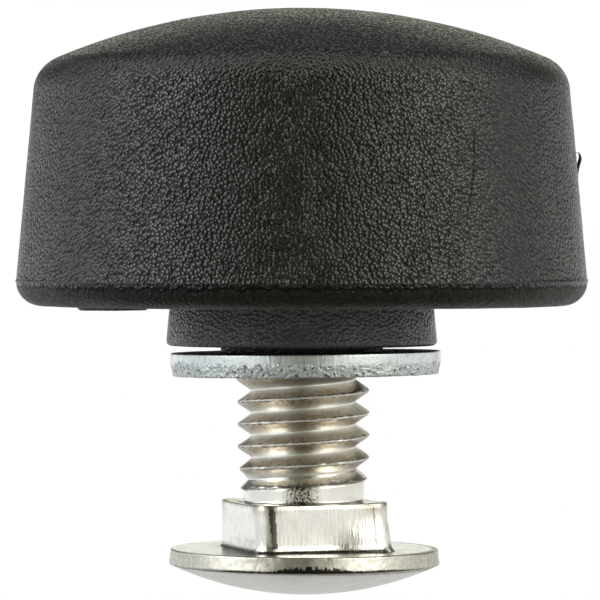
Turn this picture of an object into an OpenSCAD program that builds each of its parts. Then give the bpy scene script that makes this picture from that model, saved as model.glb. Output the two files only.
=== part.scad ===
// Round moulded knob that screws along a short square-neck bolt, with a loose washer between them.
// Millimetres. Z runs up the bolt's axis, from the middle of the knob's dome (Z = 0) to the bolt's head.
// The part is drawn standing on the knob's dome, with the knob part of the way along the thread.

/* [Knob] */
// widest diameter of the knob, at its parting line
knob_d = 25.5; // [24.5:0.1:32]
// height of the knob from the middle of the dome to the flat underside
knob_h = 13.35; // [13:0.05:16]
// radius of the domed face
dome_r = 28.4; // [24:0.1:45]
// radius of the round between the dome and the side
dome_round = 1.7; // [0.8:0.1:2.2]
// slope of the side wall, in degrees
side_draft = 5.2; // [3:0.1:7]
// radius of the round at the edge of the underside
rim_round = 1.15; // [0.6:0.05:1.5]
// how much wider the boss's free end is than the washer, on the diameter
boss_over = 0.1; // [0:0.1:2]
// how much narrower the boss is at its root, on the diameter
boss_undercut = 0.28; // [0:0.02:0.4]
// height of the boss
boss_h = 1.73; // [1.2:0.01:3]
// radius of the round at the boss's free end
boss_round = 0.2; // [0.1:0.05:0.4]
// diameter of the raised ring on the boss, which the washer bears on
ring_d = 7.6; // [7.2:0.1:9]
// height of the raised ring
ring_h = 0.29; // [0.1:0.01:0.6]
// diameter of the mark that the ejector pin leaves on the underside
pin_mark_d = 3.2; // [2:0.1:4]
// height of the ejector pin's mark
pin_mark_h = 0.13; // [0.05:0.01:0.3]
// direction of the ejector pin's mark, in degrees about Z
pin_mark_angle = 2; // [0:1:359]

/* [Threaded insert] */
// width of the insert across its flats
insert_af = 8; // [7.6:0.1:9]
// length of the insert
insert_len = 6.5; // [5:0.1:7.5]
// thickness of plastic between the insert's end and the boss's face
insert_cover = 1.2; // [0.8:0.1:1.6]
// depth of the groove that locks the insert into the plastic
groove_depth = 0.4; // [0.2:0.05:0.5]
// width of the groove
groove_w = 2; // [1:0.1:3]
// thickness of plastic left between the blind hole and the dome
dome_wall = 3.1; // [2:0.1:3.4]

/* [Washer] */
// outside diameter of the washer
washer_od = 12; // [11:0.1:16]
// thickness of the washer
washer_t = 1.04; // [0.8:0.02:1.6]
// hole in the washer
washer_id = 6.4; // [6.3:0.1:6.8]
// radius of the punched edge's round
washer_round = 0.25; // [0.1:0.05:0.4]

/* [Bolt] */
// length of the bolt from under its head to its end
bolt_len = 16; // [14.5:0.1:17]
// outside diameter of the thread
thread_d = 5.9; // [5.8:0.02:6]
// distance from one thread crest to the next
pitch = 1; // [0.75:0.25:1.25]
// direction in which the thread starts at the bolt's end, in degrees about Z
thread_start = 112; // [0:1:359]
// gap between the thread and what it turns or slides in, on the diameter
thread_clearance = 0.16; // [0.1:0.02:0.3]
// diameter of the plain shank between the thread and the neck
shank_d = 5.42; // [5.2:0.02:5.6]
// length of the plain shank
shank_len = 0.7; // [0.5:0.05:1.2]
// length of the blank tip where the thread ends
tip_len = 0.7; // [0.5:0.05:1]
// how much the blank tip narrows towards its end, on the diameter
tip_taper = 0.6; // [0.2:0.1:1]
// width of the square neck across its flats
neck_w = 6.15; // [5.9:0.05:6.4]
// length of the square neck
neck_len = 2.1; // [1.6:0.05:3]
// radius of the neck's upright corners
neck_round = 0.75; // [0.2:0.05:0.9]
// how much wider the head is than the washer, on the diameter
head_over = 0.1; // [0:0.1:3]
// height of the head from its flat underside to the middle of its dome
head_h = 2.01; // [1.6:0.01:3]
// thickness of the head's rim
head_rim_t = 0.66; // [0.62:0.02:0.9]
// radius of the round at the underside's edge
head_edge = 0.5; // [0.2:0.05:0.6]
// space between the washer and the head, for what is clamped
clamp_gap = 7.75; // [7:0.05:9]

/* [Hidden] */
$fn = 72;
eps = 0.01;

knob_color = [0.07, 0.07, 0.075];
insert_color = [0.72, 0.58, 0.3];
washer_color = [0.72, 0.75, 0.78];
bolt_color = [0.78, 0.75, 0.7];

// the boss and the head bear on the washer's width
boss_d = washer_od + boss_over;
head_d = washer_od + head_over;

// heights along the axis, each from the one before
part_z = knob_h - rim_round;
boss_z = knob_h + boss_h;
ring_z = boss_z + ring_h;
washer_z = ring_z;
clamp_z = washer_z + washer_t;
head_z = clamp_z + clamp_gap;
neck_z = head_z - neck_len;
shank_z = neck_z - shank_len;
bolt_end_z = head_z - bolt_len;
insert_z = boss_z - insert_cover - insert_len;
bore_d = thread_d + thread_clearance;

// metric thread: its depth, and its half crest and one flank as shares of the pitch
thread_depth = 0.613 * pitch;
crest = 1 / 16;
flank = 0.354;
root_d = thread_d - 2 * thread_depth;
// how far the thread runs out over the plain shank
run_out = 0.2;

// round between dome and side: its centre, and where it meets the dome and the side
side_a = knob_d / 2 - part_z * tan(side_draft) - dome_round / cos(side_draft);
side_b = tan(side_draft);
quad_a = 1 + side_b * side_b;
quad_b = side_a * side_b - dome_r;
quad_c = side_a * side_a + dome_r * dome_r - (dome_r - dome_round) * (dome_r - dome_round);
round_z = (-quad_b - sqrt(quad_b * quad_b - quad_a * quad_c)) / quad_a;
round_c = [side_a + side_b * round_z, round_z];
on_dome = [0, dome_r] + (round_c - [0, dome_r]) * dome_r / (dome_r - dome_round);
on_side = round_c + dome_round * [cos(side_draft), -sin(side_draft)];

// half of the knob's outline, turned about Z
module knob_outline() {
    intersection() {
        translate([0, dome_r])
            circle(dome_r);
        square(on_dome);
    }
    polygon([
        [0, on_dome[1]],
        on_dome,
        on_side,
        [knob_d / 2, part_z],
        [knob_d / 2 - rim_round, knob_h],
        [0, knob_h]
    ]);
    translate(round_c)
        circle(dome_round);
    translate([knob_d / 2 - rim_round, part_z])
        circle(rim_round);
    boss_outline();
}

module boss_outline() {
    polygon([
        [0, part_z],
        [boss_d / 2 - boss_undercut / 2, part_z],
        [boss_d / 2 - boss_undercut / 2, knob_h],
        [boss_d / 2, boss_z - boss_round],
        [boss_d / 2 - boss_round, boss_z],
        [0, boss_z]
    ]);
    translate([boss_d / 2 - boss_round, boss_z - boss_round])
        circle(boss_round);
    translate([0, part_z])
        square([ring_d / 2, ring_z - part_z]);
}

// raised mark of the ejector pin, half way between the boss and the rim's round
module pin_mark() {
    rotate(pin_mark_angle)
        translate([(knob_d / 2 - rim_round + boss_d / 2) / 2, 0, part_z])
            cylinder(d = pin_mark_d, h = rim_round + pin_mark_h);
}

// outside of the insert, which is also the space it fills in the knob
module insert_body() {
    end_len = (insert_len - groove_w) / 2;
    translate([0, 0, insert_z])
        cylinder(d = insert_af - 2 * groove_depth, h = insert_len);
    for (z = [0, end_len + groove_w])
        translate([0, 0, insert_z + z])
            cylinder(d = insert_af / cos(30), h = end_len, $fn = 6);
}

// a rod with a right-hand V thread: one turned section, drawn up its axis with a twist
module thread_rod(len) {
    turns = len / pitch;
    steps = 14;
    linear_extrude(height = len, twist = -360 * turns, slices = ceil(turns * 18), segments = steps)
        polygon([
            for (i = [0 : steps - 1])
                let (t = i / steps, r = thread_d / 2 - thread_depth * fall(min(t, 1 - t)))
                    r * [cos(360 * t), sin(360 * t)]
        ]);
}

// how far down the flank the thread is, from 0 at its crest to 1 at its root
function fall(t) = max(0, min(1, (t - crest) / flank));

module rounded_square(w, r) {
    square([w - 2 * r, w], center = true);
    square([w, w - 2 * r], center = true);
    for (x = [-1, 1], y = [-1, 1])
        translate([x, y] * (w / 2 - r))
            circle(r, $fn = 24);
}

// half of the head's outline, flat below and domed above
module head_outline() {
    rise = head_h - head_rim_t;
    ball_r = (head_d * head_d / 4 + rise * rise) / (2 * rise);
    intersection() {
        union() {
            translate([0, head_edge])
                square([head_d / 2, head_h]);
            square([head_d / 2 - head_edge, head_h]);
            translate([head_d / 2 - head_edge, head_edge])
                circle(head_edge);
        }
        translate([0, head_h - ball_r])
            circle(ball_r);
    }
}

module knob() {
    color(knob_color)
        difference() {
            union() {
                rotate_extrude()
                    knob_outline();
                pin_mark();
            }
            insert_body();
            translate([0, 0, dome_wall])
                cylinder(d = bore_d, h = ring_z - dome_wall + eps);
        }
}

module threaded_insert() {
    color(insert_color)
        difference() {
            insert_body();
            translate([0, 0, insert_z - eps])
                cylinder(d = bore_d, h = insert_len + 2 * eps);
        }
}

module flat_washer() {
    color(washer_color)
        translate([0, 0, washer_z])
            rotate_extrude()
                difference() {
                    union() {
                        translate([0, washer_round])
                            square([washer_od / 2, washer_t - washer_round]);
                        square([washer_od / 2 - washer_round, washer_t]);
                        translate([washer_od / 2 - washer_round, washer_round])
                            circle(washer_round);
                    }
                    translate([0, -eps])
                        square([washer_id / 2, washer_t + 2 * eps]);
                }
}

module carriage_bolt() {
    color(bolt_color) {
        translate([0, 0, bolt_end_z])
            cylinder(d1 = root_d - tip_taper, d2 = root_d, h = tip_len + eps);
        translate([0, 0, bolt_end_z + tip_len])
            rotate(thread_start)
                thread_rod(shank_z - bolt_end_z - tip_len + run_out);
        translate([0, 0, shank_z])
            cylinder(d = shank_d, h = shank_len + eps);
        translate([0, 0, neck_z])
            linear_extrude(neck_len + eps)
                rounded_square(neck_w, neck_round);
        translate([0, 0, head_z])
            rotate_extrude()
                head_outline();
    }
}

knob();
threaded_insert();
flat_washer();
carriage_bolt();
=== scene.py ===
"""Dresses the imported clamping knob: pebbled plastic knob, zinc washer and nickel-plated square-neck bolt."""

import math

import bmesh
import bpy
import numpy as np
from bpy.props import FloatProperty, FloatVectorProperty, PointerProperty
from mathutils import Matrix, Vector, noise


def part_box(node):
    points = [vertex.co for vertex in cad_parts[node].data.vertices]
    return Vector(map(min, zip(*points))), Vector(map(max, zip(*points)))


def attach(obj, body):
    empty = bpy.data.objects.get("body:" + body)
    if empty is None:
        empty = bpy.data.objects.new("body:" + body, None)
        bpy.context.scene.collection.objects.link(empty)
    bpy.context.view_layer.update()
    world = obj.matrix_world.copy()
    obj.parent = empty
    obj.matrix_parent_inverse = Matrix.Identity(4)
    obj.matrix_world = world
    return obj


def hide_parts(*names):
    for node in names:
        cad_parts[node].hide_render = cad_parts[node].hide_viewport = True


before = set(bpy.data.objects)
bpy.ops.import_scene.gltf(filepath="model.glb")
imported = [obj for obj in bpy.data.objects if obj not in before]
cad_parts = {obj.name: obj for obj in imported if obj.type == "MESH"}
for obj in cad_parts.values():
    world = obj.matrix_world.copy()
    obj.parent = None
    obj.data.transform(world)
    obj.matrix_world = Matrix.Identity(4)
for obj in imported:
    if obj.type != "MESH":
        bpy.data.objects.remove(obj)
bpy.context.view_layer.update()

bl_info = {
    "name": "Clamping knob with carriage bolt",
    "version": (1, 0, 0),
    "blender": (4, 5, 0),
    "location": "3D View > Sidebar > Clamping knob",
    "description": "Builds the looks of a round clamping knob on a square-neck bolt, around its CAD frame",
    "category": "Object",
}

MM = 0.001
KNOB_LOW, KNOB_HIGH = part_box("knob")
WASHER_LOW, WASHER_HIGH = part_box("flat_washer")
BOLT_LOW, BOLT_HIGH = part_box("carriage_bolt")

# the camera stands round from -Y towards +X, so that the neck shows one broad face and one narrow one
VIEW_TURN = math.radians(18.4)
TO_CAMERA = Vector((math.sin(VIEW_TURN), -math.cos(VIEW_TURN), 0.0))
# the photograph shows the knob on top, so its right-hand side is this direction
TO_RIGHT = Vector((-math.cos(VIEW_TURN), -math.sin(VIEW_TURN), 0.0))
# share of a turn by which the thread's crest is ahead at height 0
THREAD_PHASE = 0.549
# hidden in the knob: the pocket that the insert fills, and the end of the blind hole
POCKET_LOW, POCKET_HIGH, POCKET_RADIUS = 7.38 * MM, 13.88 * MM, 4.7 * MM
HOLE_END = 3.1 * MM
# faces round the knob and the head, the washer with its finely broken edge, and the bolt's thin parts
TURNED_SIDES, WASHER_SIDES = 320, 560
THREAD_SIDES, SHANK_SIDES, TIP_SIDES = 192, 128, 96
# distances that count as none: from the axis, between two points of the thread, and between heights
ON_AXIS, WELD, LEVEL = 1e-9, 1e-7, 1e-6
# the floor lies this far below the dome, so that the two don't share a face
FLOOR_DROP = 0.02 * MM

# tones of wear and dirt, and of painted shade and a painted reflection, linear
SCRATCH_TONE = (0.003, 0.003, 0.003)
NICK_TONE = (0.4, 0.4, 0.38)
DUST_TONE = (0.2, 0.2, 0.185)
PINHOLE_TONE = (0.001, 0.001, 0.001)
# painted shade: the washer's face towards the knob, which lies in shade under the boss, is darkened
KNOB_SIDE_SHADE_TONE = (0.09, 0.09, 0.085)
CREST_SHADOW_TONE = (0.17, 0.12, 0.07)
NECK_LINE_TONE = (0.2, 0.165, 0.115)
NECK_SCUFF_TONE = (0.5, 0.48, 0.45)
NECK_FOOT_TONE = (0.3, 0.28, 0.22)
HEAD_RIM_TONE = (0.5, 0.485, 0.405)
# painted reflection: a dark lens on the front of the head's rim
PAINTED_REFLECTION_TONE = (0.035, 0.031, 0.026)
NECK_SEAM_TONE = (0.07, 0.06, 0.05)

# tints of the light: from the left, from the right, and low down in front and behind
LEFT_TINT, RIGHT_TINT, LOW_TINT = (0.97, 0.985, 1.0), (1.0, 0.995, 0.955), (1.0, 0.99, 0.8)
WHITE = (1.0, 1.0, 1.0)


def length(name, description, default):
    """A size, given in millimetres, that a user can change."""
    default *= MM
    return FloatProperty(
        name=name, description=description, default=default, unit="LENGTH", precision=5, min=0.0
    )


def degrees(name, description, default):
    """An angle, given in degrees, that a user can change."""
    return FloatProperty(name=name, description=description, default=math.radians(default), subtype="ANGLE")


def factor(name, description, default, largest=1.0):
    """A share or level that a user can change."""
    return FloatProperty(
        name=name, description=description, default=default, subtype="FACTOR", min=0.0, max=largest
    )


def colour(name, description, default):
    """A linear colour that a user can change."""
    return FloatVectorProperty(
        name=name, description=description, default=default, size=3, subtype="COLOR", min=0.0, max=1.0
    )


class KnobSizes(bpy.types.PropertyGroup):
    """Sizes of the moulded knob."""

    width: length("Width", "Widest diameter, at the parting line", (KNOB_HIGH.x - KNOB_LOW.x) / MM)
    top: length("Ring end", "Height of the raised ring's face above the dome", KNOB_HIGH.z / MM)
    underside: length("Underside", "Height of the flat underside above the dome", 13.3)
    dome_radius: length("Dome radius", "Radius of the domed face", 28.0)
    dome_back: length("Dome set back", "How far the dome's middle stands back from the part's end", 0.04)
    dome_round: length("Dome edge", "Radius of the round between dome and side", 1.7)
    draft: degrees("Draft", "Slope of the side wall", 5.2)
    rim_round: length("Rim round", "Radius of the round at the underside's edge", 1.1)
    boss_width: length("Boss width", "Diameter of the boss at its free end", 12.1)
    boss_undercut: length("Boss undercut", "How much narrower the boss is at its root", 0.28)
    boss_round: length("Boss round", "Radius at the boss's free end", 0.2)
    boss_end: length("Boss face", "Height of the boss's face above the dome", 15.08)
    ring_width: length("Ring", "Diameter of the raised ring that the washer bears on", 7.2)
    bore: length("Bore", "Diameter of the hole for the bolt", 6.1)
    flash: length("Parting flash", "How far the parting line stands out", 0.045)
    pin_mark: length("Pin mark", "Diameter of the ejector pin's mark", 3.2)
    pin_mark_height: length("Pin mark height", "Height of the ejector pin's mark", 0.17)
    pin_mark_turn: degrees("Pin mark turn", "Direction of the ejector pin's mark about the axis", -1.5)
    waviness: length("Waviness", "Depth of the moulding's slow unevenness", 0.012)


class WasherSizes(bpy.types.PropertyGroup):
    """Sizes of the punched washer."""

    width: length("Width", "Outside diameter of the washer", 12.08)
    hole: length("Hole", "Diameter of the washer's hole", 6.4)
    edge_round: length("Edge round", "Radius where the punch entered", 0.06)
    edge_taper: length("Edge taper", "How far the broken half of the edge falls back", 0.1)
    roughness: length("Break roughness", "Depth of the broken half's grain", 0.03)
    tilt: degrees("Tilt", "Lean of the loose washer to one side", 0.6)
    nod: degrees("Nod", "Lean of the loose washer towards the knob in front", 0.3)
    shift: length("Shift", "How far the loose washer lies off the axis", 0.17)


class BoltSizes(bpy.types.PropertyGroup):
    """Sizes of the bolt."""

    crest: length("Thread diameter", "Outside diameter of the thread", 5.9)
    root: length("Root diameter", "Diameter at the bottom of the thread", 4.7)
    pitch: length("Pitch", "Distance from one crest to the next", 1.0)
    last_turn: length("Thread end", "Height at which the thread's last turn ends", 21.7)
    shank: length("Shank", "Diameter of the plain shank", 5.4)
    tip: length("Tip", "Length of the blank tip", 0.7)
    neck: length("Neck", "Width of the square neck", 6.15)
    neck_length: length("Neck length", "Length of the square neck", 2.1)
    neck_round: length("Neck corner", "Radius of the neck's corners", 0.75)
    burr: length("Neck burr", "Height of the burrs on the neck's corners", 0.07)
    head: length("Head", "Diameter of the head", (BOLT_HIGH.x - BOLT_LOW.x) / MM)
    head_height: length("Head height", "Height of the head", 2.01)
    dome_lift: length("Dome lift", "How much higher the head's dome stands", 0.025)
    rim: length("Rim", "Thickness of the head's rim", 0.66)
    rim_edge: length("Rim edge", "Radius of the round under the rim", 0.08)
    head_tilt: degrees("Head tilt", "How far the head is set askew", 0.6)
    lean: degrees("Lean", "Lean of the bolt in its thread's play", 0.4)
    lean_point: length("Lean point", "Height of the point that the bolt leans about", 8.2)


class Finishes(bpy.types.PropertyGroup):
    """Colours and grain of the finishes."""

    plastic: colour("Plastic", "Black moulded plastic", (0.0032, 0.0033, 0.0026))
    plastic_rim: colour("Plastic, smooth rim", "Warmer tone of the smooth rim", (0.024, 0.0222, 0.0155))
    # partly wear on the high spots, partly painted light: it leaves the grain's valleys darker, as painted
    # shade
    plastic_worn_and_lit: colour("Plastic, high spots", "Lighter tone on the high spots", (0.029, 0.0295, 0.024))
    # partly scuffing, partly a painted bluish sheen on the boss
    plastic_scuffed_and_sheen: colour("Plastic, scuffed", "Dull tone of the rubbed boss", (0.075, 0.076, 0.077))
    grain: length("Grain size", "Width of one pebble of the grain", 0.2)
    zinc: colour("Zinc", "Bright zinc plate", (0.72, 0.77, 0.765))
    zinc_pit: colour("Zinc, pits", "Dark pits in the broken edge", (0.17, 0.17, 0.17))
    nickel: colour("Nickel", "Bright nickel plate", (0.85, 0.84, 0.79))
    nickel_stain: colour("Nickel, stained", "Brown film on thread and neck", (0.42, 0.31, 0.175))
    brass: colour("Brass", "Turned brass insert", (0.72, 0.52, 0.24))


class StageSettings(bpy.types.PropertyGroup):
    """Floor, light and camera."""

    distance: length("Camera distance", "From the bolt's axis to the camera", 196.7)
    eye: length("Camera height", "Height of the camera above the dome", 10.2)
    aim: length("Aim height", "Height on the axis at the middle of the picture", 13.06)
    aim_left: length("Aim to the left", "How far left of the axis the camera aims", 0.08)
    lens: FloatProperty(name="Lens", description="Focal length", default=264.0, unit="CAMERA")
    floor: length("Floor", "Width of the pale floor", 4000.0)
    shadow: factor("Shadow", "How much of the shadow the floor shows", 0.1)
    sides: factor("Sides", "Level of the low light on both sides of the camera", 7.6, 9.0)
    front: factor("Front", "Level of the dark opening behind the camera", 0.35)


class ClampKnob(bpy.types.PropertyGroup):
    """Everything that the panel shows."""

    knob: PointerProperty(type=KnobSizes)
    washer: PointerProperty(type=WasherSizes)
    bolt: PointerProperty(type=BoltSizes)
    finish: PointerProperty(type=Finishes)
    stage: PointerProperty(type=StageSettings)


# Mesh helpers


def arc(centre, radius, start, end, count):
    """Points of an arc in the (radius, height) plane, ends included."""
    return [
        (centre[0] + radius * math.cos(a), centre[1] + radius * math.sin(a))
        for a in np.linspace(start, end, count)
    ]


def line(start, end, count):
    """Points of a straight run in the (radius, height) plane, without its first point."""
    return [
        (start[0] + (end[0] - start[0]) * t, start[1] + (end[1] - start[1]) * t)
        for t in np.linspace(0.0, 1.0, count + 1)[1:]
    ]


def smooth_curve(points, steps):
    """A curve through all the points, with that many steps between each two of them."""
    ends = [2 * points[0] - points[1], *points, 2 * points[-1] - points[-2]]
    curve = [points[0]]
    for before, start, end, after in zip(ends, ends[1:], ends[2:], ends[3:]):
        bend = 2 * before - 5 * start + 4 * end - after
        twist = 3 * start - before - 3 * end + after
        for t in np.linspace(0.0, 1.0, steps + 1)[1:]:
            curve.append(0.5 * (2 * start + (end - before) * t + bend * t * t + twist * t**3))
    return curve


def join(bm, low, high):
    """Faces between two rings of points; a ring of one point makes a tip."""
    count = max(len(low), len(high))
    for i in range(count):
        j = (i + 1) % count
        corners = [low[i % len(low)], low[j % len(low)], high[j % len(high)], high[i % len(high)]]
        bm.faces.new(list(dict.fromkeys(corners)))


def skin(bm, rings):
    """An open skin over rings of points."""
    for low, high in zip(rings, rings[1:]):
        join(bm, low, high)


def tube(bm, rings):
    """A closed skin over rings of points, with a flat face at each end."""
    skin(bm, rings)
    bm.faces.new(rings[0][::-1])
    bm.faces.new(rings[-1])


def lathe(bm, outline, sides):
    """Turns an outline about Z; a point on the axis becomes one vertex."""
    turns = [(math.cos(a), math.sin(a)) for a in np.linspace(0.0, 2 * math.pi, sides, endpoint=False)]
    rings = []
    for r, z in outline:
        if r < ON_AXIS:
            rings.append([bm.verts.new((0.0, 0.0, z))])
        else:
            rings.append([bm.verts.new((r * c, r * s, z)) for c, s in turns])
    skin(bm, rings)
    return rings


def finish_mesh(bm, name, material, crease=math.radians(50)):
    """Turns a bmesh into a smooth-shaded object with its sharp edges kept."""
    bmesh.ops.recalc_face_normals(bm, faces=bm.faces)
    for face in bm.faces:
        face.smooth = True
    for edge in bm.edges:
        edge.smooth = not (edge.is_manifold and edge.calc_face_angle(0.0) > crease)
    mesh = bpy.data.meshes.new(name)
    bm.to_mesh(mesh)
    bm.free()
    mesh.materials.append(material)
    piece = bpy.data.objects.new(name, mesh)
    bpy.context.scene.collection.objects.link(piece)
    return piece


def ripple(point, size):
    """Smooth noise from -1 to 1 with features of about that size."""
    return noise.noise(point / size)


def smooth_step(low, high, value):
    """0 at low, 1 at high, and eased between them."""
    t = min(1.0, max(0.0, (value - low) / (high - low)))
    return t * t * (3.0 - 2.0 * t)


def around(angle):
    """Unit direction at that angle about Z."""
    return Vector((math.cos(angle), math.sin(angle), 0.0))


def place_at(front, right, height):
    """A place that far towards the camera, to the photograph's right, and along the axis."""
    return TO_CAMERA * front + TO_RIGHT * right + Vector((0.0, 0.0, height))


def turned(height, turn, axis):
    """A turn about a line that crosses the bolt's axis at that height."""
    point = Vector((0.0, 0.0, height))
    return Matrix.Translation(point) @ Matrix.Rotation(turn, 4, axis) @ Matrix.Translation(-point)


# Shader helpers; each adds its node to the tree of the values that it is given


def new_material(name):
    """A material, its shader tree, and its Principled shader."""
    material = bpy.data.materials.new(name)
    material.use_nodes = True
    tree = material.node_tree
    return material, tree, tree.nodes["Principled BSDF"]


def fill(node, inputs):
    """Sets or links a node's inputs."""
    for key, value in inputs.items():
        if isinstance(value, bpy.types.NodeSocket):
            node.id_data.links.new(value, node.inputs[key])
        else:
            node.inputs[key].default_value = value
    return node


def add(tree, kind, inputs=None, **settings):
    """Adds a node, sets its properties, and fills its inputs."""
    node = tree.nodes.new(kind)
    for key, value in settings.items():
        setattr(node, key, value)
    return fill(node, inputs or {})


def calculate(operation, a, b=0.0, clamp=False):
    """One arithmetic step. At least one of the values is a socket."""
    tree = (a if isinstance(a, bpy.types.NodeSocket) else b).id_data
    return add(tree, "ShaderNodeMath", {0: a, 1: b}, operation=operation, use_clamp=clamp).outputs[0]


def times(first, *others):
    """Product of the values."""
    for other in others:
        first = calculate("MULTIPLY", first, other)
    return first


def plus(first, *others):
    """Sum of the values."""
    for other in others:
        first = calculate("ADD", first, other)
    return first


def minus(a, b):
    """Difference of two values."""
    return calculate("SUBTRACT", a, b)


def rest(share):
    """What a share leaves of 1."""
    return minus(1.0, share)


def most(a, b):
    """The larger of two values."""
    return calculate("MAXIMUM", a, b)


def apart(a, b):
    """How far two values are from each other."""
    return calculate("ABSOLUTE", minus(a, b))


def ramp(value, low, high, to_low=0.0, to_high=1.0):
    """Eases a value from one range to another."""
    inputs = {"Value": value, "From Min": low, "From Max": high, "To Min": to_low, "To Max": to_high}
    return add(value.id_data, "ShaderNodeMapRange", inputs, interpolation_type="SMOOTHSTEP").outputs["Result"]


def fade(mask, off, on):
    """One value where a mask is 0, another where it is 1, and eased between them."""
    return ramp(mask, 0.0, 1.0, off, on)


def within(value, start, full, leave, gone):
    """1 between full and leave, fading to 0 at start and gone."""
    return times(ramp(value, start, full), ramp(value, gone, leave))


def stripe(value, centre, half, soft, level=1.0):
    """That level on a stripe about the centre, fading to 0 from its half width to a soft edge."""
    return ramp(apart(value, centre), half, soft, level, 0.0)


def blend(mask, a, b):
    """Mixes two colours: the first where the mask is 0, the second where it is 1."""
    a, b = (c if isinstance(c, bpy.types.NodeSocket) else (*c, 1.0) for c in (a, b))
    return add(mask.id_data, "ShaderNodeMix", {0: mask, 6: a, 7: b}, data_type="RGBA").outputs[2]


def layered(tone, *layers):
    """Lays tones over one another, each where its mask says."""
    for mask, layer in layers:
        tone = blend(mask, tone, layer)
    return tone


def cloud(vector, scale, detail, roughness=0.5):
    """Noise about 0.5."""
    inputs = {"Vector": vector, "Scale": scale, "Detail": detail, "Roughness": roughness}
    return add(vector.id_data, "ShaderNodeTexNoise", inputs).outputs["Fac"]


def measure(operation, vector, other):
    """One number from two vectors."""
    inputs = {0: vector, 1: tuple(other)}
    return add(vector.id_data, "ShaderNodeVectorMath", inputs, operation=operation).outputs["Value"]


def along(vector, way):
    """How far a vector reaches in a direction."""
    return measure("DOT_PRODUCT", vector, way)


def spot(position, centre, inner, outer):
    """1 within a small ball about a point, fading to 0."""
    return ramp(measure("DISTANCE", position, centre), outer, inner)


def axes_of(vector):
    """X, Y and Z of a vector."""
    return add(vector.id_data, "ShaderNodeSeparateXYZ", {0: vector}).outputs


def axial(position):
    """Distance from the bolt's axis, angle about it and height, from a position."""
    x, y, z = axes_of(position)
    return calculate("SQRT", plus(times(x, x), times(y, y))), calculate("ARCTAN2", y, x), z


def bump(relief, strength, distance):
    """A normal that follows a relief."""
    inputs = {"Strength": strength, "Distance": distance, "Height": relief}
    return add(relief.id_data, "ShaderNodeBump", inputs).outputs["Normal"]


def new_group(name, inputs, outputs):
    """An empty shader group with a vector, named numbers to set, and named numbers to read."""
    group = bpy.data.node_groups.new(name, "ShaderNodeTree")
    group.interface.new_socket("Vector", in_out="INPUT", socket_type="NodeSocketVector")
    for socket, default in inputs.items():
        number = group.interface.new_socket(socket, in_out="INPUT", socket_type="NodeSocketFloat")
        number.default_value = default
    for socket in outputs:
        group.interface.new_socket(socket, in_out="OUTPUT", socket_type="NodeSocketFloat")
    return group, group.nodes.new("NodeGroupInput").outputs, group.nodes.new("NodeGroupOutput")


def place_group(group, position, **inputs):
    """Puts a shader group into a material with its own values."""
    return add(position.id_data, "ShaderNodeGroup", {"Vector": position, **inputs}, node_tree=group).outputs


def pebble_group():
    """Moulded pebble grain: height, and a mask of the high spots."""
    found = bpy.data.node_groups.get("pebble_grain")
    if found:
        return found
    group, given, out = new_group("pebble_grain", {"Scale": 5000.0}, ("Height", "High spots"))
    vector, scale = given["Vector"], given["Scale"]
    inputs = {"Vector": vector, "Scale": times(scale, 1.25), "Randomness": 0.95}
    away = add(group, "ShaderNodeTexVoronoi", inputs).outputs["Distance"]
    uneven = ramp(cloud(vector, times(scale, 0.2), 1.0), 0.3, 0.7, 0.75, 1.15)
    fill(out, {"Height": times(rest(times(away, away, 1.6)), uneven), "High spots": ramp(away, 0.55, 0.2)})
    return group


def haze_group():
    """A haze mask and a height of fine scratches, drawn out or packed along the bolt's axis."""
    found = bpy.data.node_groups.get("plating_haze")
    if found:
        return found
    group, given, out = new_group("plating_haze", {"Scale": 900.0, "Along": 0.12}, ("Haze", "Scratch"))
    vector, scale = given["Vector"], given["Scale"]
    x, y, z = axes_of(vector)
    stretched = add(group, "ShaderNodeCombineXYZ", {0: x, 1: y, 2: times(z, given["Along"])}).outputs[0]
    haze = ramp(cloud(vector, scale, 5.0, 0.62), 0.35, 0.7)
    fill(out, {"Haze": haze, "Scratch": cloud(stretched, times(scale, 9.0), 2.0)})
    return group


def hairline(angle, height, size, turn, start, end, bend, power):
    """1 on a fine curve up the knob's side, which starts that many degrees to the right of the camera."""
    middle = math.atan2(TO_CAMERA.y, TO_CAMERA.x) - math.radians(turn)
    middle = math.atan2(math.sin(middle), math.cos(middle))
    share = calculate("DIVIDE", minus(height, start), end - start, clamp=True)
    curve = times(calculate("POWER", share, power), math.radians(bend))
    off = times(apart(plus(angle, curve), middle), size.width / 2)
    return times(ramp(off, 0.06 * MM, 0.02 * MM), within(share, 0.0, 0.08, 0.92, 1.0))


# Materials


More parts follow.
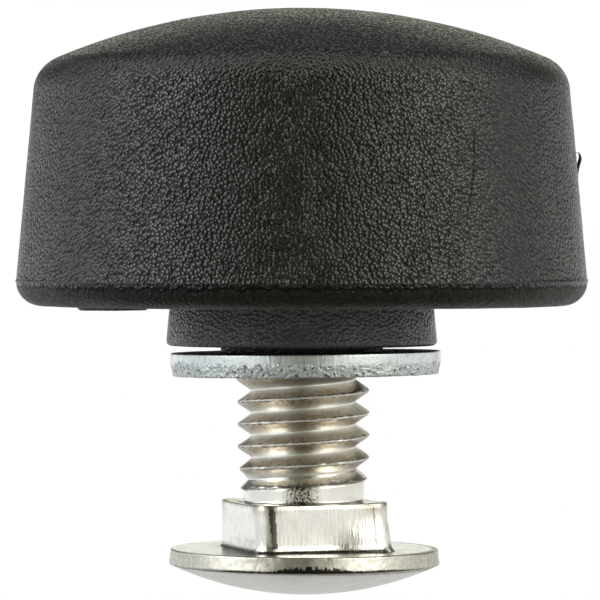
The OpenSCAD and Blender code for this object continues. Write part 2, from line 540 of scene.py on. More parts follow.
def plastic_material(finish, size):
    """Black plastic with small wear, and a pebbled grain that ends raggedly just past the parting line; the
    grain's tops are lighter, partly from wear and partly as painted light, leaving painted shade in its
    valleys.
    """
    found = bpy.data.materials.get("black_pebble_plastic")
    if found:
        return found
    material, tree, shader = new_material("black_pebble_plastic")
    position = add(tree, "ShaderNodeTexCoord").outputs["Object"]
    grain = place_group(pebble_group(), position, Scale=1.0 / finish.grain)
    drag = place_group(haze_group(), position, Scale=560.0, Along=0.1)
    high_spots = grain["High spots"]
    radius, angle, height = axial(position)
    parting, boss = size.underside - size.rim_round, size.boss_width / 2

    # where things are: the smooth rim, the ragged seam above it, the boss and the dome
    edge = plus(height, times(cloud(position, 2600.0, 3.0), 0.5 * MM))
    smooth_rim = ramp(edge, parting + 0.37 * MM, parting + 0.59 * MM)
    seam = ramp(apart(smooth_rim, 0.5), 0.5, 0.3)
    on_boss = ramp(radius, boss + 0.2 * MM, boss + 0.1 * MM)
    on_rim = calculate("SUBTRACT", smooth_rim, on_boss, clamp=True)
    on_dome = ramp(height, 3.0 * MM, 2.2 * MM)
    off_dome = rest(on_dome)

    # small wear: two hairline scratches, one nick, dust and pinholes
    scratch = most(
        hairline(angle, height, size, 36.9, 5.6 * MM, 9.3 * MM, -2.8, 2.0),
        hairline(angle, height, size, 63.2, 9.2 * MM, 6.1 * MM, 6.5, 6.0),
    )
    nick = spot(position, place_at(10.7 * MM, 3.55 * MM, 2.38 * MM), 0.06 * MM, 0.2 * MM)
    cells = add(tree, "ShaderNodeTexVoronoi", {"Vector": position, "Scale": 2500.0}).outputs
    chance = add(tree, "ShaderNodeSeparateColor", {0: cells["Color"]}).outputs[0]
    speck = ramp(cells["Distance"], 0.13, 0.06)
    dust = times(speck, ramp(chance, 0.6, 0.65))
    pinhole = times(speck, ramp(chance, 0.35, 0.3))

    tone = layered(
        finish.plastic,
        # the grain's tops lighter: partly wear, partly painted light, with painted shade left in the valleys
        (high_spots, finish.plastic_worn_and_lit),
        (times(on_rim, 0.6), finish.plastic_rim),
        (seam, finish.plastic),
        # the boss: scuffed, and lighter and bluer as a painted sheen
        (on_boss, finish.plastic_scuffed_and_sheen),
        (times(scratch, 0.9), SCRATCH_TONE),
        (nick, NICK_TONE),
        (times(dust, 0.7), DUST_TONE),
        (pinhole, PINHOLE_TONE),
    )
    rough = plus(
        ramp(cloud(position, 420.0, 4.0, 0.6), 0.3, 0.7, 0.22, 0.3),
        times(rest(high_spots), 0.12),
        times(on_rim, 0.18),
        times(scratch, 0.3),
    )
    # the high spots are polished; the rim, the seam, scratches and what is seen edge on are duller
    edge_on = add(tree, "ShaderNodeLayerWeight", {"Blend": 0.5}).outputs["Facing"]
    polish = times(
        fade(high_spots, fade(on_dome, 0.6, 0.1), 1.0),
        fade(on_rim, 1.0, 0.5),
        fade(seam, 1.0, 0.25),
        fade(most(scratch, pinhole), 1.0, 0.5),
        rest(times(ramp(edge_on, 0.5, 0.85, 0.0, 0.5), off_dome)),
    )
    # the relief is deeper on the dome, flatter on the right, and drawn out along the boss
    drawn = times(on_boss, ramp(edge, size.underside + 0.6 * MM, size.underside + 1.4 * MM, 1.9, 0.7))
    strength = most(times(most(rest(smooth_rim), drawn), fade(on_dome, 1.0, 4.0)), 0.5)
    rubbed = times(ramp(along(position, TO_RIGHT), 6.0 * MM, 8.5 * MM, 0.0, 0.42), off_dome)
    relief = minus(times(grain["Height"], strength, rest(rubbed)), times(scratch, 0.6))
    normal = bump(plus(relief, times(drag["Scratch"], on_boss, 0.8)), 1.0, 0.04 * MM)
    fill(shader, {"Base Color": tone, "Roughness": rough, "Specular IOR Level": 0.12, "Normal": normal})
    fill(shader, {"Coat Weight": polish, "Coat Roughness": 0.24, "Coat Normal": normal})
    return material


def zinc_material(finish):
    """Zinc plate, burnished where it was sheared, pitted where it broke and rubbed where the knob bears, with
    a painted shade on the face towards the knob.
    """
    material, tree, shader = new_material("washer_zinc_plate")
    place = add(tree, "ShaderNodeTexCoord").outputs
    position = place["Object"]
    wear = place_group(haze_group(), position, Scale=1500.0, Along=0.06)
    pits = cloud(position, 6500.0, 3.0, 0.6)
    radius, _, height = axial(position)
    # the face towards the knob: rubbed duller, and darkened as a painted shade
    rubbed = ramp(axes_of(place["Normal"])[2], -0.8, -0.97)
    uneven = plus(height, times(minus(wear["Haze"], 0.5), 0.3 * MM))
    broken = times(
        ramp(uneven, WASHER_LOW.z + 0.44 * MM, WASHER_LOW.z + 0.58 * MM),
        ramp(radius, WASHER_HIGH.x - 0.4 * MM, WASHER_HIGH.x - 0.2 * MM),
    )
    pitted = times(fade(broken, 0.35, 1.0), ramp(pits, 0.55, 0.64))
    # the face towards the knob gets the painted shade tone
    tone = layered(finish.zinc, (pitted, finish.zinc_pit), (rubbed, KNOB_SIDE_SHADE_TONE))
    rough = plus(times(wear["Haze"], 0.16), times(broken, 0.18), times(rubbed, 0.3), 0.22)
    normal = bump(plus(wear["Scratch"], times(pits, broken, 5.0)), 0.45, 0.03 * MM)
    fill(shader, {"Base Color": tone, "Metallic": 1.0, "Roughness": rough, "Normal": normal})
    return material


def nickel_material(finish, bolt):
    """Bright nickel plate, brown beside the thread's crests and on the neck's corners, with dark marks, a
    painted shadow beside each crest and a painted dark reflection on the head's rim.
    """
    material, tree, shader = new_material("bolt_nickel_plate")
    position = add(tree, "ShaderNodeTexCoord").outputs["Object"]
    wear = place_group(haze_group(), position, Scale=1300.0, Along=0.12)
    haze, streaks = wear["Haze"], wear["Scratch"]
    fleck = cloud(position, 5200.0, 4.0, 0.65)
    radius, angle, height = axial(position)
    across, facing = along(position, TO_RIGHT), along(position, TO_CAMERA)
    seat = BOLT_HIGH.z - bolt.head_height
    neck_end = seat - bolt.neck_length
    wall, rim = bolt.neck / 2, bolt.head / 2

    # the thread: a brown film and a thin shadow beside each crest, and a pitted smudge on the shank
    turn = minus(calculate("DIVIDE", height, bolt.pitch), calculate("DIVIDE", angle, 2 * math.pi))
    off_crest = apart(calculate("FRACT", plus(turn, 0.5 - THREAD_PHASE)), 0.5)
    past_end = minus(height, bolt.last_turn)
    on_thread = ramp(past_end, 0.1 * MM, -1.4 * MM)
    on_crest = times(ramp(off_crest, 0.07, 0.045), on_thread)
    film = times(within(off_crest, 0.03, 0.1, 0.2, 0.5), on_thread)
    shadow_line = within(off_crest, 0.03, 0.05, 0.07, 0.1)
    shadow_line = times(shadow_line, ramp(past_end, -0.7 * MM, -1.2 * MM), ramp(fleck, 0.42, 0.6))
    smudge = spot(position, place_at(bolt.shank / 2, 0.0, seat - 2.42 * MM), 0.3 * MM, 0.95 * MM)
    pits = times(smudge, ramp(cloud(position, 9500.0, 2.0), 0.48, 0.58))

    # the neck's corners, and a broad and a thin dark seam down its front
    corner = times(
        ramp(radius, wall + 0.35 * MM, wall + 0.75 * MM), ramp(height, neck_end + 0.7 * MM, neck_end)
    )
    brown = times(most(film, corner), ramp(fleck, 0.3, 0.7, 0.25, 0.8))
    on_neck = within(
        height, neck_end + 0.02 * MM, neck_end + 0.2 * MM, seat - 0.25 * MM, seat - 0.08 * MM
    )
    flecked = minus(fleck, 0.5)
    slant = times(minus(height, seat - 1.0 * MM), 0.08)
    from_seam = minus(minus(across, slant), times(flecked, 0.22 * MM))
    broad = stripe(from_seam, -1.24 * MM, 0.1 * MM, 0.17 * MM)
    thin = stripe(from_seam, 3.24 * MM, 0.02 * MM, 0.06 * MM, 0.7)
    seam = times(most(broad, thin), on_neck, ramp(facing, 1.5 * MM, 2.0 * MM))

    # thin lines round both ends of the neck, and a darker band on the head's face round the neck's foot, in
    # front
    x, y, _ = axes_of(position)
    square = most(apart(x, 0.0), apart(y, 0.0))
    on_wall = within(square, wall - 0.3 * MM, wall - 0.15 * MM, wall + 0.2 * MM, wall + 0.35 * MM)
    level = minus(height, plus(times(flecked, 0.2 * MM), seat))
    end_line = stripe(level, 0.03 * MM - bolt.neck_length, 0.03 * MM, 0.08 * MM, 0.6)
    foot_line = stripe(level, -0.02 * MM, 0.02 * MM, 0.07 * MM, 0.7)
    lines = times(most(end_line, foot_line), on_wall, ramp(haze, 0.1, 0.6, 0.45, 1.0))
    apron = times(
        ramp(square, wall + 2.0 * MM, wall + 0.4 * MM),
        ramp(facing, 2.4 * MM, 3.2 * MM),
        stripe(height, seat, 0.08 * MM, 0.12 * MM, 0.8),
    )

    # the head's rim, with a painted dark reflection in front: a lens that is deepest in the middle
    on_rim = ramp(radius, rim - 0.35 * MM, rim - 0.15 * MM, 0.0, 0.9)
    span = apart(across, 0.4 * MM)
    depth = times(
        ramp(span, 0.3 * MM, 2.2 * MM, 0.25 * MM, 0.06 * MM),
        ramp(span, 3.4 * MM, 4.6 * MM, 1.0, 0.0),
        ramp(streaks, 0.35, 0.65, 0.6, 1.25),
    )
    inward = minus(seat + bolt.rim + 0.02 * MM, height)
    painted_reflection = times(
        ramp(minus(inward, depth), 0.03 * MM, -0.03 * MM),
        ramp(inward, -0.04 * MM, 0.0),
        ramp(facing, 2.5 * MM, 3.5 * MM),
        ramp(radius, rim - 0.7 * MM, rim - 0.5 * MM),
    )

    tone = layered(
        finish.nickel,
        (brown, finish.nickel_stain),
        (times(shadow_line, 0.8), CREST_SHADOW_TONE),
        (lines, NECK_LINE_TONE),
        (times(on_neck, ramp(streaks, 0.42, 0.62, 0.0, 0.18)), NECK_SCUFF_TONE),
        (apron, NECK_FOOT_TONE),
        (times(on_rim, ramp(fleck, 0.3, 0.65, 0.4, 0.95)), HEAD_RIM_TONE),
        # the painted dark reflection on the head's rim
        (painted_reflection, PAINTED_REFLECTION_TONE),
        (most(pits, times(seam, 0.9)), NECK_SEAM_TONE),
    )
    rough = plus(
        fade(haze, 0.18, 0.28),
        most(times(brown, 0.2), times(on_thread, 0.12)),
        times(on_neck, 0.05),
        most(times(on_rim, 0.2), times(on_crest, 0.25)),
    )
    relief = minus(times(streaks, plus(1.0, on_neck)), times(most(pits, seam), 0.6))
    normal = bump(relief, 0.3, 0.02 * MM)
    fill(shader, {"Base Color": tone, "Metallic": 1.0, "Roughness": rough, "Normal": normal})
    return material


def brass_material(finish):
    """Turned brass with fine tool marks."""
    material, tree, shader = new_material("insert_brass")
    position = add(tree, "ShaderNodeTexCoord").outputs["Object"]
    wear = place_group(haze_group(), position, Scale=1800.0, Along=6.0)
    tone = blend(wear["Haze"], finish.brass, [0.7 * c for c in finish.brass])
    normal = bump(wear["Scratch"], 0.3, 0.02 * MM)
    rough = fade(wear["Haze"], 0.25, 0.4)
    fill(shader, {"Base Color": tone, "Metallic": 1.0, "Roughness": rough, "Normal": normal})
    return material


# Shapes of the pieces


def knob_outline(size):
    """The knob's outline from its dome's middle, over side and boss, to the end of its blind hole."""
    half, parting = size.width / 2, size.underside - size.rim_round
    slope, dome, soft = math.tan(size.draft), size.dome_radius, size.dome_round
    centre = dome + size.dome_back
    # the round between dome and side touches both, which gives its centre
    reach = half - parting * slope - soft / math.cos(size.draft)
    a, b = 1 + slope * slope, reach * slope - centre
    c = reach * reach + centre * centre - (dome - soft) ** 2
    z = (-b - math.sqrt(b * b - a * c)) / a
    turn = (reach + slope * z, z)
    lean = math.atan2(turn[0], centre - turn[1])
    on_side = (turn[0] + soft * math.cos(size.draft), turn[1] - soft * math.sin(size.draft))
    points = [(dome * math.sin(t), centre - dome * math.cos(t)) for t in np.linspace(0.0, lean, 80)]
    points += arc(turn, soft, lean - math.pi / 2, -size.draft, 18)[1:]
    # the side down to the parting flash, which is a narrow ridge with a wider foot
    clear, foot, edge = 0.12 * MM, 0.07 * MM, 0.02 * MM
    points += line(on_side, (half - clear * slope, parting - clear), 72)
    points += [(half, parting - foot), (half + size.flash, parting - edge)]
    points += [(half + size.flash, parting + edge), (half, parting + foot)]
    points += arc((half - size.rim_round, parting), size.rim_round, 0.09, math.pi / 2, 18)
    # the underside and the boss, with a fillet at its root
    boss, bend, fillet = size.boss_width / 2, size.boss_round, 0.1 * MM
    root, under, face = boss - size.boss_undercut / 2, size.underside, size.boss_end
    points += line((half - size.rim_round, under), (root + fillet, under), 40)
    points += arc((root + fillet, under + fillet), fillet, -math.pi / 2, -math.pi, 5)[1:]
    points += line((root, under + fillet), (boss, face - bend), 12)
    points += arc((boss - bend, face - bend), bend, 0.0, math.pi / 2, 7)[1:]
    # the raised ring, then the bore with the insert's pocket
    ring, bore, ring_slope = size.ring_width / 2, size.bore / 2, 0.05 * MM
    points += line((boss - bend, face), (ring + ring_slope, face), 8)
    points += line((ring + ring_slope, face), (ring, size.top), 4)
    points += [(bore, size.top), (bore, POCKET_HIGH), (POCKET_RADIUS, POCKET_HIGH)]
    points += [(POCKET_RADIUS, POCKET_LOW), (bore, POCKET_LOW), (bore, HOLE_END), (0.0, HOLE_END)]
    return points


def thread_fall(turn):
    """How far below the crest the thread is, from 0 at the crest to 1 at the root, at a share of one turn."""
    half_crest, flank = 0.048, 0.415
    return min(1.0, max(0.0, (abs(turn - round(turn)) - half_crest) / flank))


def thread_radius(size, height, share):
    """The thread's radius at a height and a share of a turn: a V that runs out behind its last crest."""
    turn = height / size.pitch - THREAD_PHASE
    end = size.last_turn / size.pitch - THREAD_PHASE
    last = share + math.floor(end - share)
    # towards its end the thread's crest is lower and its root is higher
    crest_drop, root_rise, run_out = 0.11 * MM, 0.17 * MM, 0.06
    past_end = height - size.last_turn
    crest = size.crest / 2 - crest_drop * smooth_step(-1.9 * MM, -0.7 * MM, past_end)
    root = size.root / 2 + root_rise * smooth_step(-1.2 * MM, -0.6 * MM, past_end)
    if turn > last:
        return crest + (size.shank / 2 - crest) * smooth_step(0.0, run_out, turn - last)
    return crest + (root - crest) * thread_fall(turn - share)


def add_thread(bm, size, low, high):
    """The rolled thread as one helical skin from tip to shank, with worn crests and a curled end."""
    steps = 18
    turns = int((high - low) / size.pitch) + 3
    crest_share, wear, wander, curl = 0.12, 0.045 * MM, 0.02 * MM, 0.12 * MM
    rows = []
    for j in range(THREAD_SIDES):
        share = j / THREAD_SIDES
        way = around(2 * math.pi * share)
        column = []
        for m in range(turns * steps + 1):
            height = low - size.pitch + size.pitch * (m / steps + share + THREAD_PHASE)
            height = min(high, max(low, height))
            fall = thread_fall(height / size.pitch - THREAD_PHASE - share)
            place = way * thread_radius(size, height, share) + Vector((0.0, 0.0, height))
            if fall < crest_share:
                worn = ripple(place, 0.3 * MM) + 0.6 * ripple(place, 0.12 * MM)
                place -= way * wear * max(0.0, worn)
                place.z += wander * ripple(place, 0.2 * MM) * (low < height < high)
            place.z -= curl * smooth_step(-0.8 * MM, -0.1 * MM, height - size.last_turn)
            column.append(bm.verts.new(place))
        rows.append(column)
    for j in range(THREAD_SIDES):
        shift = steps if j == THREAD_SIDES - 1 else 0
        ahead = rows[(j + 1) % THREAD_SIDES]
        for m in range(turns * steps - shift):
            bm.faces.new((rows[j][m], ahead[m + shift], ahead[m + shift + 1], rows[j][m + 1]))
    bmesh.ops.remove_doubles(bm, verts=bm.verts, dist=WELD)


def add_neck(bm, size, low, high):
    """The square neck: rounded corners with burrs, one of them smeared, and a flare into the head."""
    half, soft = size.neck / 2, size.neck_round
    ring = []
    for corner in range(4):
        base = math.pi / 2 * corner
        spin = Matrix.Rotation(base, 3, "Z")
        middle = spin @ Vector((half - soft, half - soft, 0.0))
        ring += [middle + around(base + a) * soft for a in np.linspace(0.0, math.pi / 2, 10)]
        after = spin @ Vector((soft - half, half, 0.0))
        start = ring[-1].copy()
        ring += [start.lerp(after, t) for t in np.linspace(0.0, 1.0, 14)[1:-1]]
    # height and growth of each level: a rounded end, the plain wall, and the flare
    levels = [(low + 0.02 * MM, 0.9), (low + 0.005 * MM, 0.975), (low + 0.03 * MM, 0.994)]
    levels += [(low + 0.07 * MM, 1.0)]
    levels += [(low + t * (high - low), 1.0) for t in np.linspace(0.12, 0.85, 10)]
    levels += [(high - 0.14 * MM, 1.008), (high - 0.05 * MM, 1.028), (high + 0.08 * MM, 1.06)]
    uneven, smear = 0.014 * MM, 0.2 * MM
    smeared_way = Vector((-1.0, -1.0, 0.0)).normalized()
    rows = []
    for z, grow in levels:
        row = []
        for point in ring:
            way = point.normalized()
            place = Vector((point.x * grow, point.y * grow, z))
            place += way * uneven * (ripple(place, 0.8 * MM) + 0.4 * ripple(place, 0.25 * MM))
            smeared = smooth_step(0.8, 0.98, way.dot(smeared_way))
            place += way * smear * smeared * smooth_step(low + 0.4 * MM, high, z)
            corner = smooth_step(half + 0.25 * MM, half + 0.9 * MM, point.length)
            near_end = smooth_step(low + 0.35 * MM, low, z)
            place.z -= size.burr * corner * near_end * (0.55 + 0.45 * ripple(place, 1.6 * MM))
            row.append(bm.verts.new(place))
        rows.append(row)
    tube(bm, rows)


def add_head(bm, size, low):
    """The head: flat below, an uneven rim that flares a little, and a low dome."""
    half, rise = size.head / 2, size.head_height - size.rim
    ball = (half * half + rise * rise) / (2 * rise)
    soft, flare, inset = size.rim_edge, math.radians(8), 0.06 * MM
    middle = (half - inset - soft, low + soft)
    outline = [(0.0, low)] + line((0.0, low), (middle[0], low), 24)
    outline += arc(middle, soft, -math.pi / 2, -flare, 10)[1:]
    outline += line(outline[-1], (half, low + size.rim - 0.01 * MM), 8)
    centre = low + size.head_height + size.dome_lift - ball
    reach = 0.995 * math.asin(half / ball)
    outline += [(ball * math.sin(a), centre + ball * math.cos(a)) for a in np.linspace(reach, 0.0, 40)]
    skew = turned(low, -size.head_tilt, TO_CAMERA)
    for ring in lathe(bm, outline, TURNED_SIDES):
        for vert in ring:
            place = vert.co.copy()
            near_rim = smooth_step(half - 0.5 * MM, half - 0.1 * MM, place.xy.length)
            swell = 0.016 * ripple(place, 0.5 * MM) + 0.012 * ripple(place, 0.2 * MM) - 0.012
            if place.xy.length > ON_AXIS:
                vert.co += place.xy.normalized().to_3d() * near_rim * swell * MM
            vert.co = skew @ vert.co


# Stage


def add_floor(stage):
    """A pale floor that shows white to the camera and keeps a light shadow."""
    bm = bmesh.new()
    bmesh.ops.create_grid(bm, x_segments=8, y_segments=8, size=stage.floor / 2)
    bmesh.ops.translate(bm, verts=bm.verts, vec=(0.0, 0.0, -FLOOR_DROP))
    material, tree, shader = new_material("floor_white")
    tree.nodes.remove(shader)
    seen = add(tree, "ShaderNodeLightPath").outputs["Is Camera Ray"]
    matt = add(tree, "ShaderNodeBsdfDiffuse", {"Color": (0.85, 0.85, 0.85, 1.0)}).outputs[0]
    glow = add(tree, "ShaderNodeEmission", {"Color": (*WHITE, 1.0), "Strength": 1.12}).outputs[0]
    mix = add(tree, "ShaderNodeMixShader", {0: times(seen, 1.0 - stage.shadow), 1: matt, 2: glow})
    fill(tree.nodes["Material Output"], {"Surface": mix.outputs[0]})
    floor = finish_mesh(bm, "floor", material)
    floor.visible_glossy = False


def add_sky(context, stage):
    """A white tent all round: dark behind the camera, with low lamps beside it, and dim overhead.

    "away" is the angle in radians from the opening's middle; "rise" is a direction's height, -1 to 1.
    """
    world = bpy.data.worlds.new("light_tent")
    context.scene.world = world
    world.use_nodes = True
    tree = world.node_tree
    x, y, rise = axes_of(add(tree, "ShaderNodeTexCoord").outputs["Generated"])
    level_way = add(tree, "ShaderNodeCombineXYZ", {0: x, 1: y, 2: 0.0}).outputs[0]
    flat = add(tree, "ShaderNodeVectorMath", {0: level_way}, operation="NORMALIZE").outputs[0]
    off_middle = math.radians(5)
    middle = TO_CAMERA * math.cos(off_middle) - TO_RIGHT * math.sin(off_middle)
    side = along(flat, TO_RIGHT)
    away = calculate("ARCCOSINE", times(along(flat, middle), 0.99999))

    # the opening, wider and darker below the camera's height than above it
    dark = ramp(rise, -0.15, 0.02, 0.13 * stage.front, stage.front)
    inner = ramp(rise, -0.03, -0.16, math.radians(5), math.radians(17))
    outer = ramp(rise, -0.03, -0.16, math.radians(37), math.radians(70))
    shade = ramp(away, inner, outer, 1.0, 0.0)
    opening = most(ramp(shade, 1.0, 0.0, dark, 1.0), ramp(rise, -0.6, -0.85))
    # a slightly uneven tent wall on both sides
    beside = ramp(away, 1.9, 2.3, -0.09, ramp(side, -0.4, 0.2, 0.14, -0.04))
    opening = times(opening, plus(1.0, times(beside, within(away, 0.8, 1.0, 2.6, 2.9))))

    # the camera's half, with the low lamps
    lamps = times(
        ramp(away, 0.45, 0.75, 0.3, 1.0),
        ramp(away, 1.5, 1.1, 0.19, 1.0),
        ramp(side, -0.4, 0.4, stage.sides, 0.95 * stage.sides),
        ramp(rise, -0.65, -0.45, 0.3, 1.0),
    )
    front_level = times(ramp(rise, 0.1, 0.6, 1.0, 0.34), ramp(rise, -0.08, -0.3, 1.0, lamps))
    # the far half: dim below, with a low glow straight behind the part and a dip on each side of it
    astern = ramp(away, 2.65, 3.0)
    below = ramp(rise, -0.5, -0.72, plus(0.17, times(astern, 0.06)), fade(astern, 1.15, 0.55))
    glow = times(within(rise, -0.36, -0.25, -0.18, -0.12), astern)
    dip = times(within(away, 2.25, 2.55, 2.75, 2.95), ramp(rise, 0.02, -0.03, 0.0, 0.45))
    back_level = times(ramp(rise, 0.02, 0.3, 1.0, 0.62), ramp(rise, -0.2, -0.06, below, 1.0))
    back_level = times(plus(back_level, glow), rest(dip))
    # both halves together, dim overhead and a little brighter straight below
    behind = ramp(away, 1.7, 2.3)
    level = plus(times(front_level, rest(behind)), times(back_level, behind))
    level = times(level, ramp(rise, 0.6, 0.95, 1.0, 0.3), ramp(rise, -0.95, -0.6, 1.3, 1.0))

    tint = blend(ramp(side, -0.7, 0.7), LEFT_TINT, RIGHT_TINT)
    tint = blend(most(shade, glow), tint, LOW_TINT)
    seen = add(tree, "ShaderNodeLightPath").outputs["Is Camera Ray"]
    strength = most(seen, times(opening, level))
    fill(tree.nodes["Background"], {"Strength": strength, "Color": blend(seen, tint, WHITE)})


def add_camera(context, stage):
    """The photograph's view: level with the knob, and upside down because the part stands on its dome."""
    data = bpy.data.cameras.new("photo_view")
    data.sensor_width, data.lens = 36.0, stage.lens
    data.clip_start, data.clip_end = 0.01, 10.0
    camera = bpy.data.objects.new("photo_view", data)
    context.scene.collection.objects.link(camera)
    eye = place_at(stage.distance, 0.0, stage.eye)
    ahead = (place_at(0.0, -stage.aim_left, stage.aim) - eye).normalized()
    right = ahead.cross(Vector((0.0, 0.0, -1.0))).normalized()
    up = right.cross(ahead)
    camera.matrix_world = Matrix.Translation(eye) @ Matrix((right, up, -ahead)).transposed().to_4x4()
    context.scene.camera = camera


# Operators


class CLAMPKNOB_OT_knob(bpy.types.Operator):
    """Build the moulded knob with its grain, parting flash and ejector mark"""

    bl_idname = "clampknob.knob"
    bl_label = "Moulded knob"

    def execute(self, context):
        props = context.scene.clamp_knob
        size = props.knob
        bm = bmesh.new()
        lathe(bm, knob_outline(size), TURNED_SIDES)
        bm.normal_update()
        parting = size.underside - size.rim_round
        mark_reach = (size.width / 2 - size.rim_round + size.boss_width / 2) / 2
        mark = around(size.pin_mark_turn) * mark_reach
        mark_edge, margin = size.pin_mark / 2, 0.1 * MM
        for vert in bm.verts:
            place = vert.co.copy()
            if place.xy.length < POCKET_RADIUS + margin and place.z > HOLE_END - margin:
                continue
            wave = ripple(place, 2.4 * MM) + 0.45 * ripple(place, 0.9 * MM)
            vert.co += vert.normal * size.waviness * wave
            if abs(place.z - parting) < 0.03 * MM:
                flash = 0.5 + 0.5 * ripple(place, 0.5 * MM)
                vert.co.xy *= 1.0 - size.flash * 0.7 * flash / (size.width / 2)
            if abs(place.z - size.underside) < LEVEL:
                near = (place.xy - mark.xy).length
                outside = smooth_step(mark_edge - 0.12 * MM, mark_edge, near)
                vert.co.z += size.pin_mark_height * (1.0 - outside)
        piece = finish_mesh(bm, "knob_moulding", plastic_material(props.finish, size))
        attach(piece, "knob")
        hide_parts("knob")
        return {"FINISHED"}


class CLAMPKNOB_OT_sliver(bpy.types.Operator):
    """Build the thin sliver of plastic that stands off the knob's side"""

    bl_idname = "clampknob.sliver"
    bl_label = "Lifted sliver"

    # height, lift off the wall and half thickness along the curl, in millimetres
    knots = (
        (7.95, -0.04, 0.03),
        (7.34, 0.02, 0.05),
        (6.92, 0.13, 0.085),
        (6.74, 0.19, 0.075),
        (6.55, 0.175, 0.045),
        (6.46, 0.1, 0.03),
        (6.52, -0.02, 0.03),
    )
    # width of the sliver as a multiple of its thickness, steps between knots, and faces round it
    breadth, steps, sides = 1.8, 5, 10

    def execute(self, context):
        props = context.scene.clamp_knob
        size = props.knob
        parting = size.underside - size.rim_round
        bm = bmesh.new()
        rings = []
        for z, lift, thick in smooth_curve([Vector(knot) * MM for knot in self.knots], self.steps):
            wall = size.width / 2 - (parting - z) * math.tan(size.draft)
            ring = []
            for a in np.linspace(0, 2 * math.pi, self.sides, endpoint=False):
                front, right = self.breadth * thick * math.sin(a), thick * math.cos(a)
                ring.append(bm.verts.new(place_at(front, wall + lift + right, z)))
            rings.append(ring)
        tube(bm, rings)
        piece = finish_mesh(bm, "knob_sliver", plastic_material(props.finish, size))
        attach(piece, "knob")
        return {"FINISHED"}


class CLAMPKNOB_OT_insert(bpy.types.Operator):
    """Give the threaded insert its turned brass finish"""

    bl_idname = "clampknob.insert"
    bl_label = "Threaded insert"

    def execute(self, context):
        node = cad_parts["threaded_insert"]
        node.data.materials.clear()
        node.data.materials.append(brass_material(context.scene.clamp_knob.finish))
        return {"FINISHED"}


class CLAMPKNOB_OT_washer(bpy.types.Operator):
    """Build the punched washer with its sheared and broken edge"""

    bl_idname = "clampknob.washer"
    bl_label = "Flat washer"

    def execute(self, context):
        props = context.scene.clamp_knob
        size = props.washer
        outer, hole, soft = size.width / 2, size.hole / 2, size.edge_round
        low, high = WASHER_LOW.z, WASHER_HIGH.z
        middle = (low + high) / 2
        chamfer, lip = 0.05 * MM, 0.04 * MM
        back = outer - size.edge_taper
        outline = [(hole, high - chamfer), (hole, low + chamfer), (hole + chamfer, low)]
        outline += line((hole + chamfer, low), (outer - soft, low), 14)
        outline += arc((outer - soft, low + soft), soft, -math.pi / 2, 0.0, 8)[1:]
        outline += line((outer, low + soft), (outer, middle), 5)
        outline += line((outer, middle), (back, high - lip), 12)
        outline += [(back - lip, high)]
        outline += line((back - lip, high), (hole + chamfer, high), 14)
        bm = bmesh.new()
        rings = lathe(bm, outline, WASHER_SIDES)
        join(bm, rings[-1], rings[0])
        bm.normal_update()
        # the edge is sheared smooth up to a wavering line, and broken rough beyond it
        blur, scoring = 0.05 * MM, 0.006 * MM
        for vert in bm.verts:
            place = vert.co.copy()
            on_edge = smooth_step(outer - 0.5 * MM, outer - 0.2 * MM, place.xy.length)
            edge_line = middle + 0.1 * MM * ripple(place, 0.7 * MM)
            broken = on_edge * smooth_step(edge_line - blur, edge_line + blur, place.z)
            streak = Vector((place.x, place.y, place.z * 0.1))
            grain = ripple(place, 0.13 * MM) + 0.6 * ripple(place, 0.28 * MM) - 0.5
            drawn = on_edge * (1.0 - broken) * scoring * ripple(streak, 0.2 * MM)
            vert.co += vert.normal * (broken * size.roughness * grain + drawn)
        lean = turned(middle, size.tilt, TO_CAMERA) @ turned(middle, -size.nod, TO_RIGHT)
        lean = Matrix.Translation(TO_RIGHT * size.shift) @ lean
        bmesh.ops.transform(bm, matrix=lean, verts=bm.verts)
        piece = finish_mesh(bm, "washer_punched", zinc_material(props.finish))
        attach(piece, "washer")
        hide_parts("flat_washer")
        return {"FINISHED"}


class CLAMPKNOB_OT_bolt(bpy.types.Operator):
    """Build the bolt: rolled thread, plain shank, square neck and low round head"""

    bl_idname = "clampknob.bolt"
    bl_label = "Carriage bolt"

    def execute(self, context):
        props = context.scene.clamp_knob
        size = props.bolt
        end, top = BOLT_LOW.z, BOLT_HIGH.z
        seat = top - size.head_height
        neck = seat - size.neck_length
        shank = size.last_turn + 0.1 * MM
        bm = bmesh.new()
        add_thread(bm, size, end + size.tip, shank)
        # the blank tip, which reaches a little way into the thread
        tip, tip_chamfer, tip_top = size.root / 2 - 0.05 * MM, 0.3 * MM, end + size.tip + 0.2 * MM
        outline = [(0.0, end), (tip - tip_chamfer, end), (tip, end + tip_chamfer)]
        outline += [(tip, tip_top), (0.0, tip_top)]
        lathe(bm, outline, TIP_SIDES)
        # the plain shank, which starts inside the thread and ends in a fillet at the neck
        half, fillet = size.shank / 2, 0.14 * MM
        inside, into_neck, fillet_start = shank - 0.4 * MM, neck + 0.1 * MM, neck - 0.12 * MM
        outline = [(0.0, inside), (half - 0.03 * MM, inside), (half, shank - 0.14 * MM)]
        outline += line((half, shank - 0.14 * MM), (half, fillet_start), 6)
        outline += arc((half + fillet, fillet_start), fillet, math.pi, math.pi / 2, 6)[1:]
        outline += [(half + fillet, into_neck), (0.0, into_neck)]
        lathe(bm, outline, SHANK_SIDES)
        add_neck(bm, size, neck, seat)
        add_head(bm, size, seat)
        lean = turned(size.lean_point, size.lean, TO_CAMERA)
        bmesh.ops.transform(bm, matrix=lean, verts=bm.verts)
        piece = finish_mesh(bm, "bolt_plated", nickel_material(props.finish, size), math.radians(40))
        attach(piece, "bolt")
        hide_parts("carriage_bolt")
        return {"FINISHED"}


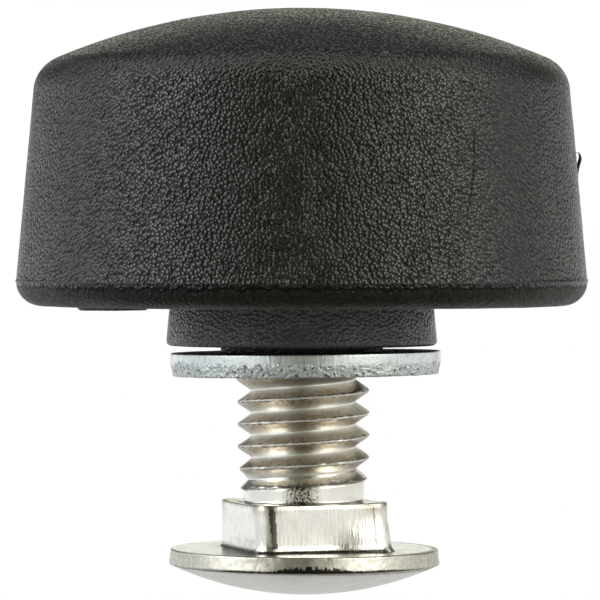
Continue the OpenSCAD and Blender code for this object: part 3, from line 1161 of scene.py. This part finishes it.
class CLAMPKNOB_OT_stage(bpy.types.Operator):
    """Set the pale floor, the tent of soft light and the camera"""

    bl_idname = "clampknob.stage"
    bl_label = "Studio stage"

    def execute(self, context):
        stage = context.scene.clamp_knob.stage
        add_floor(stage)
        add_sky(context, stage)
        add_camera(context, stage)
        context.scene.view_settings.view_transform = "Standard"
        return {"FINISHED"}


class CLAMPKNOB_PT_panel(bpy.types.Panel):
    """Lists the pieces and their sizes in the sidebar"""

    bl_idname = "CLAMPKNOB_PT_panel"
    bl_label = "Clamping knob"
    bl_space_type = "VIEW_3D"
    bl_region_type = "UI"
    bl_category = "Clamping knob"

    def draw(self, context):
        props = context.scene.clamp_knob
        for heading, group, operators in (
            ("Knob", props.knob, ("clampknob.knob", "clampknob.sliver", "clampknob.insert")),
            ("Washer", props.washer, ("clampknob.washer",)),
            ("Bolt", props.bolt, ("clampknob.bolt",)),
            ("Finishes", props.finish, ()),
            ("Stage", props.stage, ("clampknob.stage",)),
        ):
            box = self.layout.box()
            box.label(text=heading)
            for name in group.__annotations__:
                box.prop(group, name)
            for operator in operators:
                box.operator(operator)


CLASSES = (
    KnobSizes,
    WasherSizes,
    BoltSizes,
    Finishes,
    StageSettings,
    ClampKnob,
    CLAMPKNOB_OT_knob,
    CLAMPKNOB_OT_sliver,
    CLAMPKNOB_OT_insert,
    CLAMPKNOB_OT_washer,
    CLAMPKNOB_OT_bolt,
    CLAMPKNOB_OT_stage,
    CLAMPKNOB_PT_panel,
)


def register():
    for cls in CLASSES:
        bpy.utils.register_class(cls)
    bpy.types.Scene.clamp_knob = PointerProperty(type=ClampKnob)


def unregister():
    del bpy.types.Scene.clamp_knob
    for cls in reversed(CLASSES):
        bpy.utils.unregister_class(cls)


def main():
    register()
    bpy.ops.clampknob.knob()
    bpy.ops.clampknob.sliver()
    bpy.ops.clampknob.insert()
    bpy.ops.clampknob.washer()
    bpy.ops.clampknob.bolt()
    bpy.ops.clampknob.stage()


if __name__ == "__main__":
    main()
